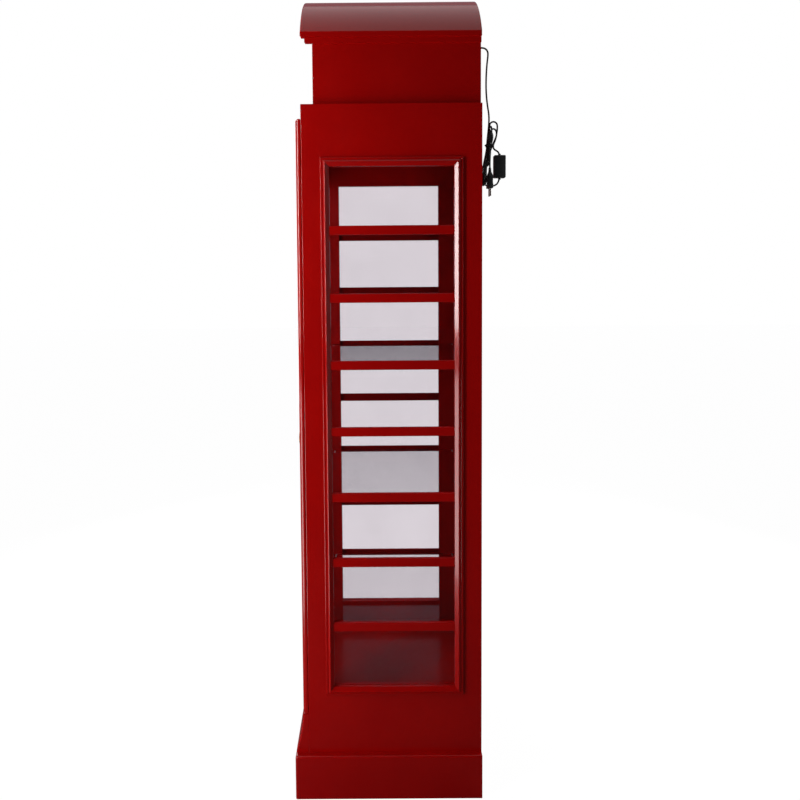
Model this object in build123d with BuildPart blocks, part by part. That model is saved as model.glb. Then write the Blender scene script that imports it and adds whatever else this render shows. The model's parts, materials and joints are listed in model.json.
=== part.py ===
"""Glazed display cabinet in the shape of a telephone booth, as separate pieces.

Units are millimetres.  +Z is up, the door faces -Y, and the origin is on the floor in the
middle of the plinth.  "Left" and "right" are as seen by someone facing the door, so right
is +X.  Pieces that only touch share a plane; pieces that move keep a named clearance.
"""

import os
from math import cos, pi, radians, sin, tan

from build123d import *

os.makedirs("parts", exist_ok=True)

# ---------------------------------------------------------------- case and plinth
case_width = 430.0
case_depth = 425.0
case_top = 1682.0              # height of the case's top above the floor
plinth_height = 108.0
plinth_side_reach = 15.5       # how far the plinth stands out beyond the case
plinth_front_reach = 32.0
plinth_thickness = 18.0
plinth_round = 5.0
block_size = 40.0              # glue blocks in the plinth's corners
block_lift = 10.0              # from the floor to the glue blocks
side_thickness = 18.0
board_thickness = 18.0
floor_top = 217.0              # inner floor above the ground
rail_thickness = 18.0
top_rail_height = 42.0
back_thickness = 6.0
back_rebate = 9.0              # how far the back panel reaches into each side panel
back_screw_rows = 5
back_screw_inset = 4.5
back_screw_end = 30.0          # from the case's top and foot to the last screws
back_screw_head = 3.5
back_screw_shank = 1.75
edge_round = 2.0

# ---------------------------------------------------------------- windows
pane_rows = 8
window_sill = 276.0            # height of the windows' foot above the floor
window_drop = 144.0            # from the case's top down to the windows' top
bar_height = 22.0
bar_proud = 2.0
bar_round = 3.0
window_margin = 65.0           # from the case's edge to the opening
glass_thickness = 4.0
glass_rebate = 10.0
glass_gap = 1.0
side_lip = 6.0                 # what is left of the side panel in front of the glass
moulding_width = 20.0
moulding_proud = 8.0
moulding_lip = 6.0             # width of the moulding's flat outer lip
lip_share = 0.6                # the lip's height as a share of the ridge's
lip_round = 1.5
lip_bevel = 1.0                # width of the groove's slope beside the lip
groove = 0.6                   # depth of the groove between lip and ridge
ridge_offset = 5.0             # from the lip to the ridge
ridge_shoulder = 2.0           # where the ridge's crown starts, outside the ridge
ridge_drop = 0.8               # the crown's start below the ridge
crown_offset = 0.6
crown_width = 1.0
crown_drop = 0.2
mitre_gap = 0.1                # each mitred end stands back by this much

# ---------------------------------------------------------------- door
door_thickness = 12.0
door_gap = 1.0                 # between the closed door's back and the case
door_bottom = 208.5
door_drop = 34.0               # from the case's top down to the door's top
door_round = 9.0
door_lip = 5.0
door_moulding_proud = 4.5
skirt_gap = 1.5
pull_height = 890.0
pull_flange_radius = 15.0
pull_flange = 1.2
pull_radius = 12.0
pull_wall = 1.0
pull_depth = 9.0

# ---------------------------------------------------------------- hinges and catch
hinge_end = 122.0              # from the door's top and foot to the outer hinges' middles
hinge_length = 60.0
hinge_leaf = 1.2
hinge_leaf_width = 20.0
knuckle_radius = 3.0
knuckle_count = 5
knuckle_gap = 0.3
knuckle_side_gap = 0.4         # between the knuckles and the case's side
pin_radius = 1.5
pin_clearance = 0.06
pin_head = 1.5
magnet_width = 46.0
magnet_height = 14.0
magnet_depth = 28.0
magnet_gap = 0.5
catch_plate_width = 38.0
catch_plate_height = 14.0
catch_plate_thickness = 1.2
catch_from_stile = 4.0         # between the catch plate and the latch stile

# ---------------------------------------------------------------- skirt
skirt_top_front = 13.0         # how far the skirt stands out at its top
skirt_bottom_front = 30.0      # and at the plinth
skirt_round = 4.0
skirt_foot = 8.0               # height of the skirt's upright foot
skirt_hollow = 3.5             # depth of its hollow face

# ---------------------------------------------------------------- shelves
shelf_bars = (3, 5, 7)         # glazing bars, from the top, that hide a shelf's edge
shelf_thickness = 6.0
shelf_side_gap = 1.5
shelf_front_gap = 34.0
shelf_back_gap = 8.0
shelf_pin_radius = 2.5
shelf_pin_reach = 9.0
shelf_pin_depth = 9.0
shelf_pin_inset = 12.0         # from a shelf's front or back edge

# ---------------------------------------------------------------- frieze, cornice, roof
frieze_side_inset = 16.0
frieze_front_inset = 28.0
head_back_inset = 1.0
frieze_height = 141.6
frieze_thickness = 10.0
sign_width = 320.0
sign_height = 86.0
sign_lap = 9.0
sign_thickness = 3.0
cornice_side_inset = 8.0       # cornice and eave stand out beyond the frieze at the sides only,
cornice_front_inset = 10.8     # and their ends run forward past its front on either side
cornice_thickness = 12.4
eave_front_inset = 1.0
eave_thickness = 11.5
eave_round = 2.5
roof_rise = 128.5
roof_thickness = 6.0
roof_edge_round = 4.0
pediment_thickness = 12.0
rib_thickness = 12.0
rib_height = 40.0

# ---------------------------------------------------------------- lamp
lamp_hole_radius = 30.0
lamp_can_radius = 29.0
lamp_can_height = 44.0
lamp_wall = 1.5
bezel_radius = 37.0
bezel_bore = 25.0
bezel_thickness = 3.0
lens_thickness = 3.0
lens_lap = 2.0
bezel_round = 1.2
can_lip = 1.0                  # how far the can's retaining ring laps the lens
lamp_cable_radius = 2.0
cable_lift = 0.5               # the cable's skin above the top board
clip_size = 9.0
clip_drops = (95.6, 39.6)      # the clips below the frieze's top
cable_from_back = 22.0         # the cable's upright run in front of the frieze's back board
cable_spread = ((0, 45), (60, 95), (120, 125))   # its way across the top board, from the lamp can

# ---------------------------------------------------------------- mains cord
cord_radius = 2.0
gland_radius = 5.0
gland_flange_radius = 7.5
gland_flange = 1.5
gland_round = 0.6
gland_x = 182.0
gland_drop = 6.6               # the gland's centre below the frieze's top
hank_thickness = 16.0
hank_top = 1646.0
waist = (243.0, 259.5)         # how near to and far from the case the hank reaches at its tie
waist_half_height = 6.0
tie_thickness = 1.5
tie_height = 8.0
tie_z = 1588.0
switch_top = 1565.0
switch_y = 274.3
switch_width = 28.0
switch_height = 53.5
switch_depth = 20.0
switch_round = 3.0
rocker_width = 12.0
rocker_length = 22.0
rocker_depth = 7.0
rocker_gap = 0.5
rocker_angle = 7.0             # the rocker rests with one end this many degrees out
rocker_pivot_inset = 3.0       # its pivot in front of the pocket's nominal depth
rocker_back_gap = 3.0          # the pocket's depth behind that
rocker_end_gap = 0.6
rocker_flat = 3.0              # half length of its raised middle
rocker_rise = (0.5, 3.5)       # its front above the pivot at an end and in the middle
rocker_belly = (3.6, 1.4)      # its back below the pivot at an end and in the middle
plug_x = 188.0
plug_y = 250.5
plug_top = 1536.0
plug_width = 36.0
plug_thickness = 14.0
plug_body_length = 36.0
plug_neck_length = 13.0
plug_pin_radius = 2.0
plug_pin_length = 19.0
plug_pin_spacing = 18.6
plug_corner = 5.0
plug_slope = 8.0               # height of the shoulders
plug_shoulder = (32.0, 13.0)   # width and thickness at the shoulders' foot
plug_collar = (14.0, 10.0, 4.0)   # width, thickness and corner radius at their top
plug_neck_radii = (4.5, 3.0)

# ---------------------------------------------------------------- derived planes
half_width = case_width / 2
back_y = (plinth_front_reach + case_depth) / 2
front_y = back_y - case_depth
plinth_half = half_width + plinth_side_reach
plinth_front_y = -back_y
middle_y = (front_y + back_y) / 2
inner_half = half_width - side_thickness
panel_y = back_y - back_thickness          # inner face of the back panel
top_board_bottom = case_top - board_thickness
window_height = case_top - window_drop - window_sill
window_middle = window_sill + window_height / 2
pane_pitch = (window_height + bar_height) / pane_rows
door_top = case_top - door_drop
hinge_heights = (door_bottom + hinge_end, (door_bottom + door_top) / 2, door_top - hinge_end)
side_window_width = case_depth - 2 * window_margin
door_window_width = case_width - 2 * window_margin
door_back_y = front_y - door_gap
door_front_y = door_back_y - door_thickness
right_face = Plane(origin=(half_width, middle_y, window_middle), x_dir=(0, 1, 0), z_dir=(1, 0, 0))
left_face = Plane(origin=(-half_width, middle_y, window_middle), x_dir=(0, -1, 0), z_dir=(-1, 0, 0))
door_face = Plane(origin=(0, door_front_y, window_middle), x_dir=(1, 0, 0), z_dir=(0, -1, 0))


def keep(piece, name):
    """Label a finished piece and write it to its own STEP file."""
    piece.part.label = name
    export_step(piece.part, f"parts/{name}.step")


def block(low, high, mode=Mode.ADD):
    """A rectangular block between two opposite corners."""
    size = [b - a for a, b in zip(low, high)]
    with Locations(tuple((a + b) / 2 for a, b in zip(low, high))):
        Box(*size, mode=mode)


def between(*corner_pairs):
    """The low and high corners of the box that spans two opposite corners, whichever way round."""
    spans = [sorted(pair) for pair in zip(*corner_pairs)]
    return tuple(low for low, _ in spans), tuple(high for _, high in spans)


def bar_offset(bar):
    """Height of a glazing bar's middle above the window's middle; bar 1 is the top one."""
    return (pane_rows / 2 - bar) * pane_pitch


# ---------------------------------------------------------------- plinth
with BuildPart() as plinth_front:
    block((-plinth_half, plinth_front_y, 0), (plinth_half, plinth_front_y + plinth_thickness, plinth_height))
    front_edges = plinth_front.faces().sort_by(Axis.Y)[0].edges()
    side_tops = plinth_front.edges().filter_by(Axis.Y).group_by(Axis.Z)[-1]
    fillet(front_edges.filter_by(Axis.Z) + front_edges.sort_by(Axis.Z)[-1:] + side_tops, plinth_round)
keep(plinth_front, "plinth_front")

with BuildPart() as plinth_boards:
    inner_front_y = plinth_front_y + plinth_thickness
    for side in (-1, 1):
        block(*between(
            (side * plinth_half, inner_front_y, 0),
            (side * (plinth_half - plinth_thickness), back_y, plinth_height),
        ))
    outer_tops = plinth_boards.edges().filter_by(Axis.Y).group_by(Axis.Z)[-1].group_by(Axis.X)
    fillet(outer_tops[0] + outer_tops[-1], plinth_round)
    board_end = plinth_half - plinth_thickness - mitre_gap
    block((-board_end, back_y - plinth_thickness, 0), (board_end, back_y, plinth_height))
keep(plinth_boards, "plinth_boards")

with BuildPart() as plinth_top:
    top_end = plinth_half - plinth_thickness
    block(
        (-top_end, plinth_front_y + plinth_thickness, plinth_height - board_thickness),
        (top_end, back_y - plinth_thickness, plinth_height),
    )
keep(plinth_top, "plinth_top")

with BuildPart() as plinth_blocks:
    block_x = plinth_half - plinth_thickness - block_size / 2
    block_span = (back_y - plinth_thickness) - (plinth_front_y + plinth_thickness) - block_size
    block_height = plinth_height - board_thickness - block_lift
    block_middle_y = (plinth_front_y + back_y) / 2
    with Locations((0, block_middle_y, plinth_height - board_thickness - block_height / 2)):
        with GridLocations(2 * block_x, block_span, 2, 2):
            Box(block_size, block_size, block_height)
    fillet(plinth_blocks.edges().filter_by(Axis.Z), edge_round)
keep(plinth_blocks, "plinth_blocks")

# ---------------------------------------------------------------- case
for side, face, name in ((1, right_face, "right"), (-1, left_face, "left")):
    with BuildPart() as side_panel:
        with BuildSketch(face):
            with Locations((0, (plinth_height + case_top) / 2 - window_middle)):
                Rectangle(case_depth, case_top - plinth_height)
        extrude(amount=-side_thickness)
        outer_front = side_panel.edges().filter_by(Axis.Z).group_by(Axis.Y)[0]
        fillet(outer_front.sort_by(Axis.X)[-1 if side > 0 else 0], edge_round)
        with BuildSketch(face):
            Rectangle(side_window_width, window_height)
        extrude(amount=-side_thickness, mode=Mode.SUBTRACT)
        with BuildSketch(face.offset(-side_lip)):
            Rectangle(side_window_width + 2 * glass_rebate, window_height + 2 * glass_rebate)
        extrude(amount=side_lip - side_thickness, mode=Mode.SUBTRACT)
        inner_x = side * inner_half
        rebate_x = side * (inner_half + back_rebate)
        block(*between((inner_x, panel_y, plinth_height), (rebate_x, back_y, case_top)), mode=Mode.SUBTRACT)
        pin_face = Plane(origin=(inner_x, 0, 0), x_dir=(0, 1, 0), z_dir=(side, 0, 0))
        pin_ys = (front_y + shelf_front_gap + shelf_pin_inset, panel_y - shelf_back_gap - shelf_pin_inset)
        pin_zs = [
            window_middle + bar_offset(bar) - shelf_thickness / 2 - shelf_pin_radius for bar in shelf_bars
        ]
        with BuildSketch(pin_face):
            with Locations([(y, side * z) for y in pin_ys for z in pin_zs]):
                Circle(shelf_pin_radius)
        extrude(amount=shelf_pin_depth, mode=Mode.SUBTRACT)
        if side < 0:
            for height in hinge_heights:
                block(
                    (-half_width, front_y, height - hinge_length / 2),
                    (-half_width + hinge_leaf_width, front_y + hinge_leaf, height + hinge_length / 2),
                    mode=Mode.SUBTRACT,
                )
    keep(side_panel, f"side_panel_{name}")

with BuildPart() as floor_board:
    block((-inner_half, front_y, floor_top - board_thickness), (inner_half, panel_y, floor_top))
keep(floor_board, "floor_board")

with BuildPart() as top_board:
    block((-inner_half, front_y, top_board_bottom), (inner_half, panel_y, case_top))
    with BuildSketch(Plane.XY.offset(top_board_bottom)):
        with Locations((0, middle_y)):
            Circle(lamp_hole_radius)
    extrude(amount=board_thickness, mode=Mode.SUBTRACT)
keep(top_board, "top_board")

with BuildPart() as front_rails:
    block(
        (-inner_half, front_y, plinth_height),
        (inner_half, front_y + rail_thickness, floor_top - board_thickness),
    )
    block(
        (-inner_half, front_y, top_board_bottom - top_rail_height),
        (inner_half, front_y + rail_thickness, top_board_bottom),
    )
keep(front_rails, "front_rails")

back_half = inner_half + back_rebate
screw_span = case_top - plinth_height - 2 * back_screw_end
screw_zs = [
    plinth_height + back_screw_end + row * screw_span / (back_screw_rows - 1)
    for row in range(back_screw_rows)
]


def back_screws(mode):
    """Every countersunk screw of the back panel, to add or to cut away."""
    for x in (back_screw_inset - back_half, back_half - back_screw_inset):
        for z in screw_zs:
            # A screw's cone and shank as one turned profile, from the panel's back inwards.
            with BuildSketch(Plane(origin=(x, back_y, z), x_dir=(1, 0, 0), z_dir=(0, 0, 1))) as profile:
                with BuildLine():
                    Polyline(
                        (0, 0),
                        (back_screw_head, 0),
                        (back_screw_shank, back_screw_shank - back_screw_head),
                        (back_screw_shank, -back_thickness),
                        (0, -back_thickness),
                        close=True,
                    )
                make_face()
            revolve(profile.sketch, axis=Axis((x, back_y, z), (0, 1, 0)), mode=mode)


with BuildPart() as back_panel_screws:
    back_screws(Mode.ADD)
keep(back_panel_screws, "back_panel_screws")

with BuildPart() as back_panel:
    block((-back_half, panel_y, plinth_height), (back_half, back_y, case_top))
    add(back_panel_screws.part, mode=Mode.SUBTRACT)
keep(back_panel, "back_panel")

# ---------------------------------------------------------------- skirt below the door
skirt_top = door_bottom - skirt_gap
skirt_toe = plinth_height + skirt_foot
with BuildPart() as skirt_moulding:
    with BuildSketch(Plane(origin=(half_width, front_y, 0), x_dir=(0, -1, 0), z_dir=(-1, 0, 0))):
        with BuildLine():
            Polyline(
                (skirt_top_front, skirt_top),
                (0, skirt_top),
                (0, plinth_height),
                (skirt_bottom_front, plinth_height),
                (skirt_bottom_front, skirt_toe),
            )
            ThreePointArc(
                (skirt_bottom_front, skirt_toe),
                ((skirt_top_front + skirt_bottom_front) / 2 - skirt_hollow, (skirt_top + skirt_toe) / 2),
                (skirt_top_front, skirt_top),
            )
        make_face()
    extrude(amount=case_width)
    hollow = skirt_moulding.faces().filter_by(GeomType.CYLINDER)
    fillet(hollow.edges().filter_by(GeomType.CIRCLE), skirt_round)
keep(skirt_moulding, "skirt_moulding")

# ---------------------------------------------------------------- windows
def moulding_length(face, turn, length, reach, proud):
    """One mitred length of window moulding, `turn` quarter turns round from the window's foot.

    The profile rises from the outer lip to a ridge and rolls over towards the glass.
    """
    across, up = ((1, 0), (0, 1), (-1, 0), (0, -1))[turn]
    along = face.x_dir * across + face.y_dir * up
    side_plane = Plane(origin=face.origin, x_dir=along, z_dir=face.z_dir)
    start = side_plane.from_local_coords(Vector(-length / 2, -reach, 0))
    profile_plane = Plane(origin=start, x_dir=side_plane.y_dir, z_dir=side_plane.x_dir)
    lip_rise = lip_share * proud
    ridge = moulding_lip + ridge_offset
    with BuildPart() as piece:
        with BuildSketch(profile_plane):
            with BuildLine():
                Line((0, 0), (0, lip_rise - lip_round))
                RadiusArc((0, lip_rise - lip_round), (lip_round, lip_rise), lip_round)
                Polyline(
                    (lip_round, lip_rise),
                    (moulding_lip - lip_bevel, lip_rise),
                    (moulding_lip, lip_rise - groove),
                    (ridge - ridge_shoulder, proud - ridge_drop),
                )
                ThreePointArc(
                    (ridge - ridge_shoulder, proud - ridge_drop),
                    (ridge - crown_offset, proud),
                    (ridge + crown_width, proud - crown_drop),
                )
                Polyline(
                    (ridge + crown_width, proud - crown_drop),
                    (moulding_width, bar_proud),
                    (moulding_width, 0),
                    (0, 0),
                )
            make_face()
        extrude(amount=length)
        with BuildSketch(side_plane.offset(-1)):
            end = length / 2 - mitre_gap
            with BuildLine():
                Polyline(
                    (-end, -reach),
                    (end, -reach),
                    (end - moulding_width, moulding_width - reach),
                    (moulding_width - end, moulding_width - reach),
                    close=True,
                )
            make_face()
        extrude(amount=proud + 2, mode=Mode.INTERSECT)
    return piece.part


def window_pieces(face, width, lip, depth, proud):
    """The moulding, glazing bars, glass and glass beads of one window.

    `face` lies on the outer surface at the window's middle, `lip` is the material in front of
    the glass, and `depth` is how far the beads reach in, flush with the inner surface.
    """
    outer_width = width + 2 * moulding_width
    outer_height = window_height + 2 * moulding_width
    with BuildPart() as moulding:
        for turn in range(4):
            upright = turn % 2
            length = outer_height if upright else outer_width
            reach = (outer_width if upright else outer_height) / 2
            add(moulding_length(face, turn, length, reach, proud))
    with BuildPart() as bars:
        for bar in range(1, pane_rows):
            with BuildSketch(face.offset(-lip)):
                with Locations((0, bar_offset(bar))):
                    Rectangle(width, bar_height)
            extrude(amount=lip + bar_proud)
        front_faces = bars.faces().filter_by(Plane(origin=face.origin, z_dir=face.z_dir))
        front_lines = front_faces.group_by(Axis(face.origin, face.z_dir))[-1].edges()
        fillet(front_lines.filter_by(Axis(face.origin, face.x_dir)), bar_round)
    glass_width = width + 2 * (glass_rebate - glass_gap)
    glass_height = window_height + 2 * (glass_rebate - glass_gap)
    with BuildPart() as glass:
        with BuildSketch(face.offset(-lip)):
            Rectangle(glass_width, glass_height)
        extrude(amount=-glass_thickness)
    with BuildPart() as beads:
        bead_depth = depth - lip - glass_thickness
        rebate_width = width + 2 * glass_rebate
        rebate_height = window_height + 2 * glass_rebate
        with BuildSketch(face.offset(-lip - glass_thickness)):
            with GridLocations(rebate_width - glass_rebate, 0, 2, 1):
                Rectangle(glass_rebate, rebate_height)
            with GridLocations(0, rebate_height - glass_rebate, 1, 2):
                Rectangle(width - 2 * mitre_gap, glass_rebate)
        extrude(amount=-bead_depth)
    return moulding, bars, glass, beads


side_beads = []
for face, name in ((right_face, "right"), (left_face, "left")):
    moulding, bars, glass, beads = window_pieces(
        face, side_window_width, side_lip, side_thickness, moulding_proud
    )
    keep(moulding, f"window_moulding_{name}")
    keep(bars, f"glazing_bars_{name}")
    keep(glass, f"side_glass_{name}")
    side_beads.append(beads.part)

with BuildPart() as side_glass_beads:
    add(side_beads)
keep(side_glass_beads, "side_glass_beads")

# ---------------------------------------------------------------- door
door_moulding, door_glazing_bars, door_glass, door_glass_beads = window_pieces(
    door_face, door_window_width, door_lip, door_thickness, door_moulding_proud
)
keep(door_moulding, "door_moulding")
keep(door_glazing_bars, "door_glazing_bars")
keep(door_glass, "door_glass")
keep(door_glass_beads, "door_glass_beads")

pull_x = (door_window_width / 2 + moulding_width + half_width) / 2
pull_plane = Plane(origin=(pull_x, door_front_y, pull_height), x_dir=(1, 0, 0), z_dir=(0, -1, 0))
catch_z = top_board_bottom - top_rail_height - magnet_height / 2
catch_x = half_width - window_margin - catch_from_stile - catch_plate_width / 2
catch_plate_box = (
    (catch_x - catch_plate_width / 2, door_back_y - catch_plate_thickness, catch_z - catch_plate_height / 2),
    (catch_x + catch_plate_width / 2, door_back_y, catch_z + catch_plate_height / 2),
)
window_top = window_middle + window_height / 2
window_bottom = window_middle - window_height / 2


# What the door's window and the rebate behind it, for the glass and its beads, take away.
with BuildPart() as door_window:
    with BuildSketch(door_face):
        Rectangle(door_window_width, window_height)
    extrude(amount=-door_thickness)
    with BuildSketch(door_face.offset(-door_lip)):
        Rectangle(door_window_width + 2 * glass_rebate, window_height + 2 * glass_rebate)
    extrude(amount=door_lip - door_thickness)

for side, name in ((-1, "door_hinge_stile"), (1, "door_latch_stile")):
    with BuildPart() as stile:
        block(*between(
            (side * half_width, door_front_y, door_bottom),
            (side * (half_width - window_margin), door_back_y, door_top),
        ))
        front_lines = stile.edges().group_by(Axis.Y)[0]
        outer_line = front_lines.filter_by(Axis.Z).sort_by(Axis.X)[-1 if side > 0 else 0]
        end_lines = front_lines.filter_by(Axis.X)
        fillet([outer_line] + list(end_lines), door_round)
        add(door_window.part, mode=Mode.SUBTRACT)
        if side < 0:
            for height in hinge_heights:
                block(
                    (-half_width, door_back_y - hinge_leaf, height - hinge_length / 2),
                    (-half_width + hinge_leaf_width, door_back_y, height + hinge_length / 2),
                    mode=Mode.SUBTRACT,
                )
        else:
            with BuildSketch(pull_plane):
                Circle(pull_radius)
            extrude(amount=-door_thickness, mode=Mode.SUBTRACT)
    keep(stile, name)

for name, low_z, high_z, rounded in (
    ("door_top_rail", window_top, door_top, -1),
    ("door_bottom_rail", door_bottom, window_bottom, 0),
):
    with BuildPart() as rail:
        rail_half = half_width - window_margin
        block((-rail_half, door_front_y, low_z), (rail_half, door_back_y, high_z))
        front_lines = rail.edges().group_by(Axis.Y)[0].filter_by(Axis.X)
        fillet(front_lines.sort_by(Axis.Z)[rounded], door_round)
        add(door_window.part, mode=Mode.SUBTRACT)
        if name == "door_top_rail":
            block(*catch_plate_box, mode=Mode.SUBTRACT)
    keep(rail, name)

with BuildPart() as door_pull:
    with BuildSketch(pull_plane):
        Circle(pull_flange_radius)
    extrude(amount=pull_flange)
    with BuildSketch(pull_plane):
        Circle(pull_radius)
    extrude(amount=-pull_depth)
    fillet(door_pull.edges().filter_by(GeomType.CIRCLE).group_by(Axis.Y)[0], pull_flange / 2)
    with BuildSketch(pull_plane.offset(pull_flange)):
        Circle(pull_radius - pull_wall)
    extrude(amount=-(pull_depth + pull_flange - pull_wall), mode=Mode.SUBTRACT)
keep(door_pull, "door_pull")

with BuildPart() as catch_magnet:
    block(
        (catch_x - magnet_width / 2, front_y - magnet_gap, catch_z - magnet_height / 2),
        (catch_x + magnet_width / 2, front_y + magnet_depth, catch_z + magnet_height / 2),
    )
    fillet(catch_magnet.edges().filter_by(Axis.Y).group_by(Axis.Z)[0], edge_round)
keep(catch_magnet, "catch_magnet")

with BuildPart() as catch_plate:
    block(*catch_plate_box)
keep(catch_plate, "catch_plate")

# ---------------------------------------------------------------- hinges
hinge_x = -half_width - knuckle_side_gap - knuckle_radius
hinge_y = (front_y + door_back_y) / 2
knuckle_length = hinge_length / knuckle_count
pin_bore = pin_radius + pin_clearance


def hinge_leaves(leaf_low_y, leaf_high_y, first_knuckle, bore):
    """The leaves of every hinge on one side, with alternate knuckles from `first_knuckle`."""
    with BuildPart() as leaves:
        for height in hinge_heights:
            bottom = height - hinge_length / 2
            block(
                (-half_width, leaf_low_y, bottom),
                (-half_width + hinge_leaf_width, leaf_high_y, bottom + hinge_length),
            )
            for knuckle in range(first_knuckle, knuckle_count, 2):
                low = bottom + knuckle * knuckle_length + knuckle_gap / 2
                high = low + knuckle_length - knuckle_gap
                block((hinge_x, leaf_low_y, low), (-half_width, leaf_high_y, high))
                with BuildSketch(Plane.XY.offset(low)):
                    with Locations((hinge_x, hinge_y)):
                        Circle(knuckle_radius)
                extrude(amount=high - low)
            with BuildSketch(Plane.XY.offset(bottom)):
                with Locations((hinge_x, hinge_y)):
                    Circle(bore)
            extrude(amount=hinge_length, mode=Mode.SUBTRACT)
    return leaves


hinge_leaves_case = hinge_leaves(front_y, front_y + hinge_leaf, 0, pin_radius)
keep(hinge_leaves_case, "hinge_leaves_case")
hinge_leaves_door = hinge_leaves(door_back_y - hinge_leaf, door_back_y, 1, pin_bore)
keep(hinge_leaves_door, "hinge_leaves_door")

with BuildPart() as hinge_pins:
    for height in hinge_heights:
        with BuildSketch(Plane.XY.offset(height - hinge_length / 2)):
            with Locations((hinge_x, hinge_y)):
                Circle(pin_radius)
        extrude(amount=hinge_length)
        with Locations((hinge_x, hinge_y, height + hinge_length / 2)):
            Cylinder(knuckle_radius, pin_head, align=(Align.CENTER, Align.CENTER, Align.MIN))
keep(hinge_pins, "hinge_pins")

# ---------------------------------------------------------------- glass shelves
shelf_half = inner_half - shelf_side_gap
with BuildPart() as glass_shelves:
    for bar in shelf_bars:
        shelf_z = window_middle + bar_offset(bar)
        block(
            (-shelf_half, front_y + shelf_front_gap, shelf_z - shelf_thickness / 2),
            (shelf_half, panel_y - shelf_back_gap, shelf_z + shelf_thickness / 2),
        )
    fillet(glass_shelves.edges().filter_by(Axis.Z), edge_round)
keep(glass_shelves, "glass_shelves")

with BuildPart() as shelf_pins:
    for side in (-1, 1):
        with BuildSketch(Plane(origin=(side * (inner_half + shelf_pin_depth), 0, 0),
                               x_dir=(0, 1, 0), z_dir=(-side, 0, 0))):
            with Locations([(y, -side * z) for y in pin_ys for z in pin_zs]):
                Circle(shelf_pin_radius)
        extrude(amount=shelf_pin_depth + shelf_pin_reach)
keep(shelf_pins, "shelf_pins")

# ---------------------------------------------------------------- frieze and sign
frieze_half = half_width - frieze_side_inset
frieze_front_y = front_y + frieze_front_inset
head_back_y = back_y - head_back_inset
frieze_top = case_top + frieze_height
sign_z = case_top + frieze_height / 2
sign_face = Plane(origin=(0, frieze_front_y, sign_z), x_dir=(1, 0, 0), z_dir=(0, -1, 0))
with BuildPart() as frieze_front:
    block(
        (-frieze_half, frieze_front_y, case_top),
        (frieze_half, frieze_front_y + frieze_thickness, frieze_top),
    )
    fillet(frieze_front.edges().filter_by(Axis.Z).group_by(Axis.Y)[0], edge_round)
    with BuildSketch(sign_face):
        Rectangle(sign_width, sign_height)
    extrude(amount=-frieze_thickness, mode=Mode.SUBTRACT)
keep(frieze_front, "frieze_front")

with BuildPart() as sign_panel:
    with BuildSketch(sign_face.offset(-frieze_thickness)):
        Rectangle(sign_width + 2 * sign_lap, sign_height + 2 * sign_lap)
    extrude(amount=-sign_thickness)
keep(sign_panel, "sign_panel")

with BuildPart() as frieze_sides:
    for side in (-1, 1):
        block(*between(
            (side * frieze_half, frieze_front_y + frieze_thickness, case_top),
            (side * (frieze_half - frieze_thickness), head_back_y, frieze_top),
        ))
keep(frieze_sides, "frieze_sides")

frieze_inner_half = frieze_half - frieze_thickness
frieze_back_face = head_back_y - frieze_thickness
gland_z = frieze_top - gland_drop
gland_plane = Plane(origin=(gland_x, frieze_back_face, gland_z), x_dir=(-1, 0, 0), z_dir=(0, 1, 0))
with BuildPart() as frieze_back:
    block(
        (-frieze_inner_half, frieze_back_face, case_top),
        (frieze_inner_half, head_back_y, frieze_top),
    )
    with BuildSketch(gland_plane):
        Circle(gland_radius)
    extrude(amount=frieze_thickness, mode=Mode.SUBTRACT)
keep(frieze_back, "frieze_back")

# ---------------------------------------------------------------- cornice, eave and roof
cornice_half = half_width - cornice_side_inset
cornice_top = frieze_top + cornice_thickness
with BuildPart() as cornice_board:
    block((-cornice_half, front_y + cornice_front_inset, frieze_top), (cornice_half, head_back_y, cornice_top))
    lower_lines = cornice_board.edges().group_by(Axis.Z)[0]
    fillet(lower_lines.filter_by(Axis.X).sort_by(Axis.Y)[0], edge_round)
    block(
        (-frieze_half, front_y + cornice_front_inset, frieze_top),
        (frieze_half, frieze_front_y, cornice_top),
        mode=Mode.SUBTRACT,
    )
keep(cornice_board, "cornice_board")

eave_top = cornice_top + eave_thickness
eave_front_y = front_y + eave_front_inset
with BuildPart() as eave_board:
    block((-half_width, eave_front_y, cornice_top), (half_width, head_back_y, eave_top))
    eave_fronts = eave_board.faces().sort_by(Axis.Y)[0].edges()
    fillet(eave_fronts, eave_round)
    block(
        (-frieze_half, eave_front_y, cornice_top),
        (frieze_half, frieze_front_y, eave_top),
        mode=Mode.SUBTRACT,
    )
keep(eave_board, "eave_board")

roof_radius = (half_width**2 + roof_rise**2) / (2 * roof_rise)
roof_centre_z = eave_top + roof_rise - roof_radius


def roof_segment(radius):
    """The part of a circle about the roof's axis that lies above the eave."""
    with Locations((0, roof_centre_z)):
        Circle(radius)
    with Locations((0, eave_top)):
        Rectangle(4 * case_width, 2 * roof_rise, align=(Align.CENTER, Align.MIN), mode=Mode.INTERSECT)


roof_front = Plane(origin=(0, eave_front_y, 0), x_dir=(1, 0, 0), z_dir=(0, -1, 0))
roof_length = head_back_y - eave_front_y
with BuildPart() as roof_skin:
    with BuildSketch(roof_front):
        roof_segment(roof_radius)
    extrude(amount=-roof_length)
    fillet(roof_skin.faces().sort_by(Axis.Y)[0].edges().filter_by(GeomType.CIRCLE), roof_edge_round)
    with BuildSketch(roof_front):
        roof_segment(roof_radius - roof_thickness)
    extrude(amount=-roof_length, mode=Mode.SUBTRACT)
keep(roof_skin, "roof_skin")

for name, start in (
    ("pediment_front", frieze_front_y - eave_front_y),
    ("pediment_back", roof_length - pediment_thickness),
):
    with BuildPart() as pediment:
        with BuildSketch(roof_front.offset(-start)):
            roof_segment(roof_radius - roof_thickness)
        extrude(amount=-pediment_thickness)
    keep(pediment, name)

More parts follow.
